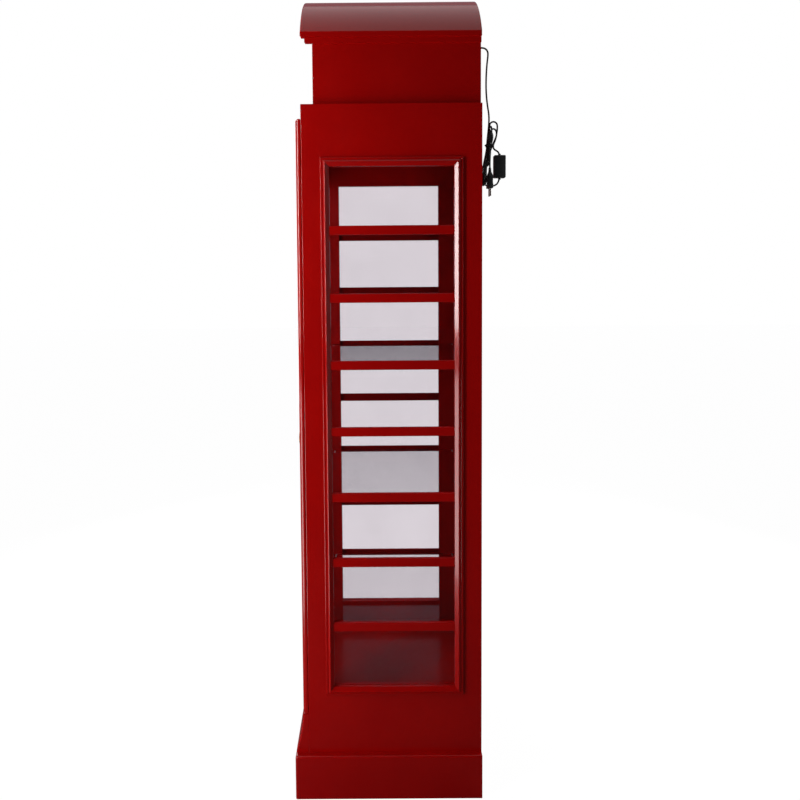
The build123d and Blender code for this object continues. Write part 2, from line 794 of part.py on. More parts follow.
with BuildPart() as roof_ribs:
    for share in (1 / 3, 2 / 3):
        with BuildSketch(roof_front.offset(-share * roof_length)):
            roof_segment(roof_radius - roof_thickness)
            with Locations((0, roof_centre_z)):
                Circle(roof_radius - roof_thickness - rib_height, mode=Mode.SUBTRACT)
        extrude(amount=-rib_thickness)
keep(roof_ribs, "roof_ribs")

# ---------------------------------------------------------------- lamp
lamp_floor = Plane(origin=(0, middle_y, top_board_bottom), x_dir=(1, 0, 0), z_dir=(0, 0, 1))
with BuildPart() as lamp_bezel:
    with BuildSketch(lamp_floor.offset(-bezel_thickness)):
        Circle(bezel_radius)
        Circle(bezel_bore, mode=Mode.SUBTRACT)
    extrude(amount=bezel_thickness)
    rim = lamp_bezel.edges().filter_by(GeomType.CIRCLE).group_by(Axis.Z)[0]
    fillet(rim, bezel_round)
keep(lamp_bezel, "lamp_bezel")

with BuildPart() as lamp_lens:
    with BuildSketch(lamp_floor):
        Circle(bezel_bore + lens_lap)
    extrude(amount=lens_thickness)
keep(lamp_lens, "lamp_lens")

with BuildPart() as lamp_housing:
    with BuildSketch(lamp_floor):
        Circle(lamp_can_radius)
    extrude(amount=lamp_can_height)
    fillet(lamp_housing.edges().group_by(Axis.Z)[-1], edge_round)
    with BuildSketch(lamp_floor):
        Circle(lamp_can_radius - lamp_wall)
    extrude(amount=lamp_can_height - lamp_wall, mode=Mode.SUBTRACT)
    with BuildSketch(lamp_floor.offset(lens_thickness)):
        Circle(lamp_can_radius - lamp_wall)
        Circle(bezel_bore + lens_lap - can_lip, mode=Mode.SUBTRACT)
    extrude(amount=lamp_wall)
keep(lamp_housing, "lamp_housing")


# ---------------------------------------------------------------- cords
def corner_radii(points):
    """As large a radius at each corner of a cord's route as its two runs allow."""
    radii = []
    for before, corner, after in zip(points, points[1:], points[2:]):
        run_in = Vector(*corner) - Vector(*before)
        run_out = Vector(*after) - Vector(*corner)
        half_turn = radians(run_in.get_angle(run_out) / 2)
        radii.append(0.45 * min(run_in.length, run_out.length) / tan(half_turn))
    return radii


def cord_tube(points, name):
    """A round cord along straight runs joined by tangent arcs; prints its radii and length."""
    radii = corner_radii(points)
    with BuildPart() as tube:
        with BuildLine() as route:
            FilletPolyline(*points, radius=radii)
        start = Vector(*points[0])
        heading = Vector(*points[1]) - start
        with BuildSketch(Plane(origin=start, z_dir=heading)):
            Circle(cord_radius)
        sweep(path=route.wires()[0])
    length = route.wires()[0].length
    section = pi * cord_radius**2
    print(name, "radii", [round(r, 1) for r in radii], "length", round(length, 1),
          "volume / (section x length)", round(tube.part.volume / (section * length), 4))
    return tube


cable_z = case_top + lamp_cable_radius + cable_lift
cable_rise_y = frieze_back_face - cable_from_back
can_back_y = middle_y + lamp_can_radius
lamp_cable_points = [
    (0, can_back_y, cable_z),
    *[(x, can_back_y + y, cable_z) for x, y in cable_spread],
    (gland_x, cable_rise_y, cable_z),
    (gland_x, cable_rise_y, gland_z),
    (gland_x, frieze_back_face, gland_z),
]
lamp_cable = cord_tube(lamp_cable_points, "lamp_cable")
keep(lamp_cable, "lamp_cable")

with BuildPart() as cable_clips:
    for drop in clip_drops:
        height = frieze_top - drop
        block(
            (gland_x - clip_size / 2, cable_rise_y - clip_size / 2, height - clip_size / 2),
            (frieze_inner_half, cable_rise_y + clip_size / 2, height + clip_size / 2),
        )
        with BuildSketch(Plane(origin=(gland_x, cable_rise_y, height - clip_size / 2))):
            Circle(lamp_cable_radius)
        extrude(amount=clip_size, mode=Mode.SUBTRACT)
keep(cable_clips, "cable_clips")

with BuildPart() as cord_gland:
    with BuildSketch(gland_plane):
        Circle(gland_radius)
    extrude(amount=frieze_thickness)
    with BuildSketch(gland_plane.offset(frieze_thickness)):
        Circle(gland_flange_radius)
    extrude(amount=gland_flange)
    fillet(cord_gland.edges().filter_by(GeomType.CIRCLE).group_by(Axis.Y)[-1], gland_round)
keep(cord_gland, "cord_gland")

gland_end_y = head_back_y + gland_flange
hank_x = gland_x
power_cord_points = [
    (hank_x, gland_end_y, gland_z),
    (hank_x, 236.3, 1817),
    (hank_x, 242.9, 1813.2),
    (hank_x, 246.5, 1806.4),
    (hank_x, 246.3, 1797),
    (hank_x, 244.2, 1780),
    (hank_x, 242.2, 1752),
    (hank_x, 242.0, 1716),
    (hank_x, 244.8, 1686),
    (hank_x, 249.5, 1662),
    (hank_x, 250.5, 1646),
]
power_cord = cord_tube(power_cord_points, "power_cord")
keep(power_cord, "power_cord")

# The hank seen from the side: a fan of loops above the tie, a flat bundle beside the plug.
waist_top = tie_z + waist_half_height
waist_foot = tie_z - waist_half_height
hank_plane = Plane(origin=(hank_x - hank_thickness / 2, 0, 0), x_dir=(0, 1, 0), z_dir=(1, 0, 0))
with BuildPart() as cord_hank:
    with BuildSketch(hank_plane):
        with BuildLine():
            Polyline(
                (waist[0], waist_top),
                (246.5, 1608),
                (246.5, hank_top),
                (255, hank_top),
            )
            ThreePointArc((255, hank_top), (266.5, 1637.5), (270.5, 1622))
            Polyline(
                (270.5, 1622),
                (268, 1606),
                (waist[1], waist_top),
                (waist[1], waist_foot),
                (254.5, 1562),
                (254.5, 1536),
                (242.5, 1536),
                (242.5, 1498),
            )
            ThreePointArc((242.5, 1498), (238, 1493.5), (233.5, 1498))
            Polyline(
                (233.5, 1498),
                (234.5, 1536),
                (240, 1562),
                (waist[0], waist_foot),
                (waist[0], waist_top),
            )
        make_face()
    extrude(amount=hank_thickness)
keep(cord_hank, "cord_hank")

with BuildPart() as cord_tie:
    waist_middle = (waist[0] + waist[1]) / 2
    with BuildSketch(Plane.XY.offset(tie_z - tie_height / 2)):
        with Locations((hank_x, waist_middle)):
            RectangleRounded(
                hank_thickness + 2 * tie_thickness,
                waist[1] - waist[0] + 2 * tie_thickness,
                tie_thickness,
            )
            Rectangle(hank_thickness, waist[1] - waist[0], mode=Mode.SUBTRACT)
    extrude(amount=tie_height)
keep(cord_tie, "cord_tie")

cord_switch_in = cord_tube(
    [(hank_x, 254, 1583), (hank_x, 268, 1575.5), (hank_x, 273.5, switch_top - 1)],
    "cord_switch_in",
)
keep(cord_switch_in, "cord_switch_in")
cord_switch_out_points = [
    (hank_x, switch_y, switch_top - switch_height + 1),
    (180, 272.5, 1501),
    (173, 265.5, 1495),
    (165, 257.5, 1494),
    (161.5, 249.5, 1496),
    (163.5, 241.5, 1499),
    (169, 236.5, 1502),
    (176, 235.5, 1505),
]
cord_switch_out = cord_tube(cord_switch_out_points, "cord_switch_out")
keep(cord_switch_out, "cord_switch_out")

# The rocker sits in a pocket in the switch's left side and tilts about a level axis.
switch_low = (hank_x - switch_depth / 2, switch_y - switch_width / 2, switch_top - switch_height)
switch_high = (hank_x + switch_depth / 2, switch_y + switch_width / 2, switch_top)
switch_middle_z = switch_top - switch_height / 2
rocker_pivot_x = switch_low[0] + rocker_depth - rocker_pivot_inset
rocker_lean = radians(rocker_angle)
rocker_plane = Plane(
    origin=(rocker_pivot_x, switch_y - rocker_width / 2, switch_middle_z),
    x_dir=(sin(rocker_lean), 0, cos(rocker_lean)),
    z_dir=(0, 1, 0),
)
with BuildPart() as switch_body:
    block(switch_low, switch_high)
    fillet(switch_body.edges(), switch_round)
    pocket_half = rocker_length / 2 + rocker_gap
    block(
        (switch_low[0] - 1, switch_y - rocker_width / 2 - rocker_gap, switch_middle_z - pocket_half),
        (
            switch_low[0] + rocker_depth + rocker_back_gap,
            switch_y + rocker_width / 2 + rocker_gap,
            switch_middle_z + pocket_half,
        ),
        mode=Mode.SUBTRACT,
    )
keep(switch_body, "switch_body")

with BuildPart() as switch_rocker:
    with BuildSketch(rocker_plane):
        with BuildLine():
            tip = rocker_length / 2 - rocker_end_gap
            end_rise, middle_rise = rocker_rise
            end_belly, middle_belly = rocker_belly
            Polyline(
                (-tip, -end_belly),
                (-tip, end_rise),
                (-rocker_flat, middle_rise),
                (rocker_flat, middle_rise),
                (tip, end_rise),
                (tip, -end_belly),
            )
            ThreePointArc((tip, -end_belly), (0, -middle_belly), (-tip, -end_belly))
        make_face()
    extrude(amount=rocker_width)
keep(switch_rocker, "switch_rocker")

# ---------------------------------------------------------------- plug
plug_neck_bottom = plug_top - plug_neck_length
plug_bottom = plug_neck_bottom - plug_body_length
plug_slope_bottom = plug_neck_bottom - plug_slope


def plug_section(height, width, thickness, corner):
    """A rounded rectangle across the plug."""
    with BuildSketch(Plane.XY.offset(height)) as section:
        with Locations((plug_x, plug_y)):
            RectangleRounded(width, thickness, corner)
    return section.sketch


with BuildPart() as plug_body:
    foot = plug_section(plug_bottom, plug_width, plug_thickness, plug_corner)
    shoulder = plug_section(plug_slope_bottom, *plug_shoulder, plug_corner)
    collar = plug_section(plug_neck_bottom, *plug_collar)
    loft([foot, shoulder])
    loft([shoulder, collar])
    for height, radius in zip((plug_neck_bottom, plug_top), plug_neck_radii):
        with BuildSketch(Plane.XY.offset(height)):
            with Locations((plug_x, plug_y)):
                Circle(radius)
    loft()
keep(plug_body, "plug_body")

with BuildPart() as plug_pins:
    with BuildSketch(Plane.XY.offset(plug_bottom)):
        with Locations((plug_x, plug_y)):
            with GridLocations(plug_pin_spacing, 0, 2, 1):
                Circle(plug_pin_radius)
    extrude(amount=-plug_pin_length)
    fillet(plug_pins.edges().group_by(Axis.Z)[0], plug_pin_radius / 2)
keep(plug_pins, "plug_pins")
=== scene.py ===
"""Telephone-booth display cabinet: the photo's camera, the lead in its hank, small fittings,
materials, floor, world and lamps.

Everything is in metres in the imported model's frame. The lead, the plug, the switch's collars and the
tie are written in the part's millimetres, and MM turns these into metres.
"""

import json

from math import copysign, cos, pi, sin

import bmesh
import bpy
from mathutils import Matrix, Vector

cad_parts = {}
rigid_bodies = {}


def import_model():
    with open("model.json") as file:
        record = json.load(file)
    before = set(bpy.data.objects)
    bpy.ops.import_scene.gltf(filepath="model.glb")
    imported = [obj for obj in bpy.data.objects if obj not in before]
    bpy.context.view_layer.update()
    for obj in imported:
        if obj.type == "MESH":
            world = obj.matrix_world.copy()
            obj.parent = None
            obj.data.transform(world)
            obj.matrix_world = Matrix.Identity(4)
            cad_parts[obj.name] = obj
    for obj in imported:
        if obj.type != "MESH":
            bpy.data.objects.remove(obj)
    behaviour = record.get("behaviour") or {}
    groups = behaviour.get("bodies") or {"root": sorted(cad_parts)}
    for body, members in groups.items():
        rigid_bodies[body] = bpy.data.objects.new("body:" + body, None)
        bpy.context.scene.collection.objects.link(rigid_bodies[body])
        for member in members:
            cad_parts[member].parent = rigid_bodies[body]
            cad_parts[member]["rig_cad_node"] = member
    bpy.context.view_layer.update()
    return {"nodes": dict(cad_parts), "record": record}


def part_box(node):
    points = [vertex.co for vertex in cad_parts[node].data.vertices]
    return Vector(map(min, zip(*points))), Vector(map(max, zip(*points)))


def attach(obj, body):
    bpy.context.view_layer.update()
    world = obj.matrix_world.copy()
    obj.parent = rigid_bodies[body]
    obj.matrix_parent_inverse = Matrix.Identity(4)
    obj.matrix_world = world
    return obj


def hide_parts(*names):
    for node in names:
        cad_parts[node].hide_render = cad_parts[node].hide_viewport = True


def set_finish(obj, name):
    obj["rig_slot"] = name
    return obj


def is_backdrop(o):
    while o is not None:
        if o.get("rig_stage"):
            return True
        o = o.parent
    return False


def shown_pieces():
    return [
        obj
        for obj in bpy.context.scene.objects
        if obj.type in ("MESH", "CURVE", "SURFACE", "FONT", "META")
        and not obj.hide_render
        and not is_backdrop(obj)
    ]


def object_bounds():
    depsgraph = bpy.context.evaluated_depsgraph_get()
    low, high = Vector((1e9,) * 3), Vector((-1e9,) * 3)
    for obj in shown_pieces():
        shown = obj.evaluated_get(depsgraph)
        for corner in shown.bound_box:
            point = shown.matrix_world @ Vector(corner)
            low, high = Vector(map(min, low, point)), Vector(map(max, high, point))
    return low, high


MM = 0.001

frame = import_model()
nodes = frame["nodes"]
scene = bpy.context.scene
scene.view_settings.view_transform = "Standard"


def link(name, data):
    """A new object in the scene."""
    made = bpy.data.objects.new(name, data)
    scene.collection.objects.link(made)
    return made


# ---------------------------------------------------------------- camera, fitted to the photo's edges
CAMERA_PLACE = Vector((1.8059, -0.0212, 1.3097))
CAMERA_YAW, CAMERA_DIP, CAMERA_ROLL = -0.0022, 0.0581, -0.0077
FOCAL_PIXELS, IMAGE_PIXELS = 672.7, 800.0
CENTRE_X, CENTRE_Y = 375.25, 302.7
SENSOR_WIDTH = 36.0

forward = Vector((
    -cos(CAMERA_DIP) * cos(CAMERA_YAW), cos(CAMERA_DIP) * sin(CAMERA_YAW), -sin(CAMERA_DIP),
))
level_right = forward.cross(Vector((0, 0, 1))).normalized()
level_up = level_right.cross(forward)
camera_right = cos(CAMERA_ROLL) * level_right + sin(CAMERA_ROLL) * level_up
camera_up = cos(CAMERA_ROLL) * level_up - sin(CAMERA_ROLL) * level_right
camera_data = bpy.data.cameras.new("camera")
camera_data.sensor_width = SENSOR_WIDTH
camera_data.lens = FOCAL_PIXELS / IMAGE_PIXELS * SENSOR_WIDTH
camera_data.shift_x = (IMAGE_PIXELS / 2 - CENTRE_X) / IMAGE_PIXELS
camera_data.shift_y = (CENTRE_Y - IMAGE_PIXELS / 2) / IMAGE_PIXELS
camera = link("camera", camera_data)
turn = Matrix((camera_right, camera_up, -forward)).transposed()
camera.matrix_world = Matrix.Translation(CAMERA_PLACE) @ turn.to_4x4()
scene.camera = camera

# ---------------------------------------------------------------- lead
LEAD_DIAMETER = 4 * MM
HANK_X = 182
GLAND_END = (HANK_X, 229, 1817)
SWITCH_Y, SWITCH_TOP, SWITCH_BASE = 274.3, 1565.0, 1511.5
SWITCH_BOTTOM = (HANK_X, SWITCH_Y, SWITCH_BASE)

# From the gland down the back, through the tie in its turns, and out to the switch.
SUPPLY_POINTS = [
    GLAND_END, (182, 236.3, 1817), (182, 242.9, 1813.2), (182, 246.5, 1806.4), (182, 246.3, 1797),
    (182, 244.2, 1780), (182, 242.2, 1752), (182, 242, 1716), (182, 244.8, 1686), (182, 249, 1662),
    (181.5, 249.4, 1646), (180.8, 248.2, 1628), (180, 246.4, 1610), (180, 245, 1597), (180, 245, 1588),
    (178, 243.6, 1576), (174.6, 241.4, 1562), (171.2, 238.4, 1546), (170, 236.4, 1530),
    (170, 236, 1512), (170, 236, 1500.8), (176.4, 236, 1494.4), (187.6, 236, 1494.4),
    (194, 236, 1500.8), (194, 236, 1512), (194.2, 236.2, 1530), (193.4, 237.4, 1546),
    (190.4, 240, 1560), (186.4, 243, 1574), (184, 245, 1588),
    (184.4, 246.8, 1602), (185, 249.4, 1616), (185.2, 250.2, 1629), (185.2, 250.4, 1638.4),
    (184.8, 255.6, 1643.8), (184.2, 263.4, 1643.8), (183.6, 268.8, 1638.4), (182.6, 269, 1626),
    (181.4, 267.2, 1611), (180.4, 262.2, 1599), (180, 257.2, 1588),
    (178.6, 252.4, 1574), (175, 246.4, 1560), (171.4, 242.4, 1546), (170, 240.6, 1531),
    (170, 240.4, 1514), (170, 240.4, 1504.8), (176.4, 240.4, 1498.4), (187.6, 240.4, 1498.4),
    (194, 240.4, 1504.8), (194, 240.4, 1518), (193.8, 241, 1534), (192, 243, 1550),
    (188, 245.6, 1564), (185, 248, 1576), (184, 249, 1588),
    (184.2, 250.6, 1598), (184.6, 252.2, 1606), (184.8, 253, 1613), (180.6, 255, 1619.4),
    (173.6, 258.4, 1619.4), (169.2, 260.4, 1613), (169.6, 259.4, 1604), (172.6, 256.6, 1595),
    (176, 253, 1586),
    (174, 251.4, 1573), (171.4, 249.4, 1562), (171, 247.4, 1553), (171, 246.6, 1547),
    (177, 246.4, 1541), (187, 246.4, 1541), (193, 246.8, 1547), (193.4, 247.6, 1557),
    (191, 248.6, 1572), (188, 249, 1588),
    (190.6, 249, 1600), (194, 250, 1611), (194.5, 250.8, 1620.4), (192, 255.4, 1626),
    (188.6, 262.2, 1626), (186.2, 266.6, 1620.4), (186, 266.4, 1609), (185.4, 262.4, 1597),
    (184.6, 258, 1587), (183, 261, 1579.4), (182, 267.6, 1576), (182, 273, 1571.6), (182, 274.3, 1563),
]
# From the switch round behind the plug, once through the tie, and down into the plug.
PLUG_POINTS = [
    SWITCH_BOTTOM, (180, 272.5, 1501), (173, 265.5, 1495), (165, 257.5, 1494),
    (161.5, 249.5, 1496), (162.4, 240.6, 1498.6), (166.6, 232.6, 1502), (173.6, 230.8, 1508),
    (180, 231.6, 1520), (182, 234.6, 1536), (181.8, 239.2, 1552), (181.6, 243.8, 1564),
    (180.8, 247.4, 1575), (180, 249, 1587), (177.6, 250, 1598), (172, 251, 1609),
    (170.5, 251.7, 1620), (170.5, 251.8, 1629), (175.3, 252.6, 1633.8), (181.9, 254, 1633.8),
    (186.6, 254.8, 1629), (186.8, 254.9, 1617), (187.4, 254.4, 1602), (188, 253, 1588),
    (188, 251.6, 1572), (188, 250.5, 1556), (188, 250.5, 1537), (188, 250.5, 1530),
]


def round_curve(name, runs, radius, round_steps, along_steps):
    """A curve object of round cross-section with one smooth open spline for each run of points."""
    curve = bpy.data.curves.new(name, "CURVE")
    curve.dimensions = "3D"
    curve.bevel_resolution, curve.resolution_u = round_steps, along_steps
    curve.bevel_depth = 1.0     # times each point's radius, which also bounds the curve's box
    for run in runs:
        spline = curve.splines.new("NURBS")
        spline.points.add(len(run) - 1)
        for point, place in zip(spline.points, run):
            point.co = (*[c * MM for c in place], 1)
            point.radius = radius
        spline.order_u = 3
        spline.use_endpoint_u = True
    return link(name, curve)


LEAD_ROUND_STEPS, LEAD_ALONG_STEPS = 5, 6
supply_lead, plug_lead = [
    round_curve(name, [points], LEAD_DIAMETER / 2, LEAD_ROUND_STEPS, LEAD_ALONG_STEPS)
    for name, points in (("supply_lead", SUPPLY_POINTS), ("plug_lead", PLUG_POINTS))
]
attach(supply_lead, "cabinet")
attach(plug_lead, "cabinet")
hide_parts("power_cord", "cord_hank", "cord_switch_in")
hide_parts("cord_switch_out")
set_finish(supply_lead, "black_cord")
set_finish(plug_lead, "black_cord")


# ---------------------------------------------------------------- mesh helpers
def mesh_object(name, bm, body, slot_name, smooth=True):
    """An object from a bmesh, riding on a CAD body and finished as a record slot."""
    bmesh.ops.recalc_face_normals(bm, faces=bm.faces)
    mesh = bpy.data.meshes.new(name)
    bm.to_mesh(mesh)
    bm.free()
    if smooth:
        mesh.polygons.foreach_set("use_smooth", [True] * len(mesh.polygons))
    made = link(name, mesh)
    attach(made, body)
    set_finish(made, slot_name)
    return made


ROUND = 2                       # the power of a plain circle or ellipse; larger ones are squarer


def on_superellipse(half_x, half_y, power, angle):
    """The point of a rounded rectangle or ellipse at an angle."""
    c, s = cos(angle), sin(angle)
    return (
        half_x * copysign(abs(c) ** (2 / power), c),
        half_y * copysign(abs(s) ** (2 / power), s),
    )


def superellipse(half_x, half_y, power, count):
    """Points round a rounded rectangle or ellipse."""
    return [on_superellipse(half_x, half_y, power, 2 * pi * i / count) for i in range(count)]


def band(bm, low, high):
    """Faces between two closed rings of as many vertices."""
    for i in range(len(low)):
        j = (i + 1) % len(low)
        bm.faces.new((low[i], low[j], high[j], high[i]))


def loft(bm, rings):
    """Faces between successive closed rings of points, with both ends capped."""
    made = [[bm.verts.new(p) for p in ring] for ring in rings]
    for low, high in zip(made, made[1:]):
        band(bm, low, high)
    bm.faces.new(list(reversed(made[0])))
    bm.faces.new(made[-1])


# ---------------------------------------------------------------- plug
PLUG_X, PLUG_Y = 188, 250.5
PLUG_RING_POINTS = 32
# (height, half width, half thickness, squareness): body, shoulders, then the ribbed neck.
PLUG_RINGS = [
    (1487.0, 16.6, 5.8, 5), (1487.15, 17.4, 6.5, 5), (1488.2, 17.95, 6.95, 5), (1492, 17.9, 6.95, 5),
    (1494.5, 17.7, 6.9, 5), (1495.5, 16.9, 6.1, 5), (1508, 16.2, 5.9, 5), (1509, 16.8, 6.5, 5),
    (1512, 16.0, 6.5, 5), (1515.5, 14.4, 6.3, 4.5), (1519, 11.2, 5.9, 4), (1522, 7.6, 5.2, 3),
    (1523.2, 5.6, 4.6, 2.4), (1524, 4.3, 4.3, 2),
]
PLUG_NECK_TOP, PLUG_NECK_END_RADIUS = 1535.8, 2.3
NECK_RIBS = 4
NECK_RADIUS, NECK_TAPER = 4.3, 1.2
# (share of a rib's pitch, how much narrower than the neck): the rib, then the groove above it.
RIB_PROFILE = ((0.15, 0.0), (0.5, 0.0), (0.6, 0.9), (0.9, 0.9))


def plug_shell():
    """The plug's body with a recessed grip and a ribbed, tapering neck."""
    rings = list(PLUG_RINGS)
    neck_low = PLUG_RINGS[-1][0]
    pitch = (PLUG_NECK_TOP - neck_low) / NECK_RIBS
    for rib in range(NECK_RIBS):
        low = neck_low + rib * pitch
        radius = NECK_RADIUS - NECK_TAPER * rib / NECK_RIBS
        for share, narrower in RIB_PROFILE:
            rings.append((low + share * pitch, radius - narrower, radius - narrower, ROUND))
    rings.append((PLUG_NECK_TOP, PLUG_NECK_END_RADIUS, PLUG_NECK_END_RADIUS, ROUND))
    bm = bmesh.new()
    loft(bm, [
        [((PLUG_X + x) * MM, (PLUG_Y + y) * MM, z * MM)
         for x, y in superellipse(hx, hy, power, PLUG_RING_POINTS)]
        for z, hx, hy, power in rings
    ])
    return mesh_object("plug_shell", bm, "cabinet", "black_plastic")


plug_shell_piece = plug_shell()
softened = plug_shell_piece.modifiers.new("subdivision", "SUBSURF")
softened.levels = softened.render_levels = 1
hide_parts("plug_body")

# ---------------------------------------------------------------- switch collars
COLLAR_SINK = 0.4               # how far a collar's foot is sunk into the switch
COLLAR_RING_POINTS = 24
# (distance from the foot, radius)
COLLAR_PROFILE = [
    (0, 3.6), (1.0, 3.6), (1.4, 2.9), (2.2, 2.9), (2.6, 3.3), (3.4, 3.3), (3.8, 2.5), (4.6, 2.4),
]


def switch_collars():
    """Short ribbed collars where the lead enters and leaves the switch."""
    bm = bmesh.new()
    for z, way in ((SWITCH_TOP - COLLAR_SINK, 1), (SWITCH_BASE + COLLAR_SINK, -1)):
        loft(bm, [
            [((HANK_X + x) * MM, (SWITCH_Y + y) * MM, (z + way * rise) * MM)
             for x, y in superellipse(radius, radius, ROUND, COLLAR_RING_POINTS)]
            for rise, radius in COLLAR_PROFILE
        ])
    return mesh_object("switch_collars", bm, "cabinet", "black_plastic")


switch_collars_piece = switch_collars()

# ---------------------------------------------------------------- tie
TIE_Z, TIE_Y = 1588.0, 251.25
TIE_WIRE_RADIUS = 0.85
TIE_HALF_X, TIE_HALF_Y, TIE_SQUARENESS = 9.3, 9.4, 4
TIE_ROUNDS, POINTS_PER_ROUND = 3, 16
TIE_LOW, TIE_HIGH = -3.4, 3.2   # the first and the last round, about TIE_Z
TIE_WANDER = 0.5
TIE_ROUND_STEPS, TIE_ALONG_STEPS = 3, 4
# The tails wind about one line: where it starts from the tie's corner, and its step for each point.
TAIL_POINTS, TAIL_POINTS_PER_TURN = 15, 6
TAIL_START_X, TAIL_START_Y, TAIL_START_Z = TIE_HALF_X + 1.3, -1.0, -0.4
TAIL_STEP_Y, TAIL_STEP_Z = -0.9, -0.05


def tie():
    """A plastic-covered wire tie: three rounds of wire and its two ends twisted together."""
    steps = TIE_ROUNDS * POINTS_PER_ROUND
    rounds = []
    for i in range(steps + 1):
        a = 2 * pi * i / POINTS_PER_ROUND
        x, y = on_superellipse(TIE_HALF_X, TIE_HALF_Y, TIE_SQUARENESS, a)
        height = TIE_LOW + (TIE_HIGH - TIE_LOW) * i / steps + TIE_WANDER * sin(3 * a)
        rounds.append((HANK_X + x, TIE_Y + y, TIE_Z + height))
    runs = [rounds]
    for start_angle, start in ((0, TIE_HIGH), (pi, TIE_LOW)):
        tail = [(HANK_X + TIE_HALF_X, TIE_Y, TIE_Z + start)]
        for i in range(TAIL_POINTS):
            a = start_angle + 2 * pi * i / TAIL_POINTS_PER_TURN
            tail.append((
                HANK_X + TAIL_START_X + TIE_WIRE_RADIUS * cos(a),
                TIE_Y + TAIL_START_Y + TAIL_STEP_Y * i,
                TIE_Z + TAIL_START_Z + TAIL_STEP_Z * i + TIE_WIRE_RADIUS * sin(a),
            ))
        runs.append(tail)
    made = round_curve("hank_tie", runs, TIE_WIRE_RADIUS * MM, TIE_ROUND_STEPS, TIE_ALONG_STEPS)
    made.data.use_fill_caps = True
    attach(made, "cabinet")
    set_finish(made, "black_plastic")
    return made


hank_tie = tie()
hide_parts("cord_tie")


# ---------------------------------------------------------------- screws
# Shares of a head's radius.
CROSS_ARM, CROSS_HALF_WIDTH, CROSS_DEPTH, SHOULDER = 0.62, 0.17, 0.35, 0.86
CROSS_FLOOR = 0.8               # the recess's floor, as a share of its mouth
HEAD_SEGMENTS = 24


def screw_head(bm, place, normal, radius, dome, cross_turn):
    """A screw's head: a low dome with a cross recess sunk into it."""
    arm, width, depth = CROSS_ARM * radius, CROSS_HALF_WIDTH * radius, CROSS_DEPTH * radius
    side = normal.orthogonal().normalized()
    other = normal.cross(side)

    def vertex(x, y, z):
        c, s = cos(cross_turn), sin(cross_turn)
        return bm.verts.new(place + side * (x * c - y * s) + other * (x * s + y * c) + normal * z)

    def circle(share, z):
        angles = [2 * pi * i / HEAD_SEGMENTS for i in range(HEAD_SEGMENTS)]
        return [vertex(share * radius * cos(a), share * radius * sin(a), z) for a in angles]

    cross = []
    for quarter in range(4):
        c, s = cos(quarter * pi / 2), sin(quarter * pi / 2)
        for x, y in ((width, -width), (arm, -width), (arm, width)):
            cross.append((x * c - y * s, x * s + y * c))
    rim = circle(1, 0)
    shoulder = circle(SHOULDER, dome)
    mouth = [vertex(x, y, dome) for x, y in cross]
    floor_ring = [vertex(CROSS_FLOOR * x, CROSS_FLOOR * y, dome - depth) for x, y in cross]
    back = circle(1, -depth - dome)
    band(bm, back, rim)
    band(bm, rim, shoulder)
    band(bm, mouth, floor_ring)
    bm.faces.new(back)
    bm.faces.new(floor_ring)
    # The flat round the recess: each side of the recess is joined to its share of the shoulder.
    step = HEAD_SEGMENTS // len(mouth)
    for i in range(len(mouth)):
        j = (i + 1) % len(mouth)
        arc = [shoulder[(i * step + k) % HEAD_SEGMENTS] for k in range(step + 1)]
        bm.faces.new([mouth[i], *arc, mouth[j]])


low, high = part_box("back_panel_screws")
PANEL_SCREW_ROWS = 5
PANEL_SCREW_RADIUS, PANEL_SCREW_DOME = 3.5 * MM, 0.05 * MM
HEAD_SHARE, HEAD_SINK = 0.97, 0.1 * MM      # so that a head stays inside the CAD screw
bm = bmesh.new()
rows_span = high.z - low.z - 2 * PANEL_SCREW_RADIUS
for row in range(PANEL_SCREW_ROWS):
    z = low.z + PANEL_SCREW_RADIUS + row * rows_span / (PANEL_SCREW_ROWS - 1)
    for x in (low.x + PANEL_SCREW_RADIUS, high.x - PANEL_SCREW_RADIUS):
        stopped_at = 0.4 + 1.3 * row + 40 * x       # every cross stopped at its own angle
        screw_head(
            bm, Vector((x, high.y - HEAD_SINK, z)), Vector((0, 1, 0)),
            HEAD_SHARE * PANEL_SCREW_RADIUS, PANEL_SCREW_DOME, stopped_at,
        )
panel_screw_heads = mesh_object("panel_screw_heads", bm, "cabinet", "zinc_steel", smooth=False)
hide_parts("back_panel_screws")

HINGES, HALF_LEAF = 3, 0.03
HINGE_SCREW_RADIUS, HINGE_SCREW_DOME = 2.1 * MM, 0.25 * MM
LEAF_SCREWS = ((-0.02, -0.2), (0.0, -0.206), (0.02, -0.2))      # (height from the leaf's middle, X)
# (body, its leaves, the Y of the face the screws show on, which way that face looks along Y)
LEAVES = (
    ("cabinet", "hinge_leaves_case", -0.1965, -1),
    ("door", "hinge_leaves_door", -0.1975, 1),
)
for body, leaves, face_y, outward in LEAVES:
    low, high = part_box(leaves)
    bm = bmesh.new()
    for hinge in range(HINGES):
        middle = low.z + HALF_LEAF + hinge * (high.z - low.z - 2 * HALF_LEAF) / (HINGES - 1)
        for offset, x in LEAF_SCREWS:
            stopped_at = 0.7 + hinge + 60 * offset
            screw_head(
                bm, Vector((x, face_y, middle + offset)), Vector((0, outward, 0)),
                HINGE_SCREW_RADIUS, HINGE_SCREW_DOME, stopped_at,
            )
    mesh_object(f"hinge_screws_{body}", bm, body, "polished_brass", smooth=False)


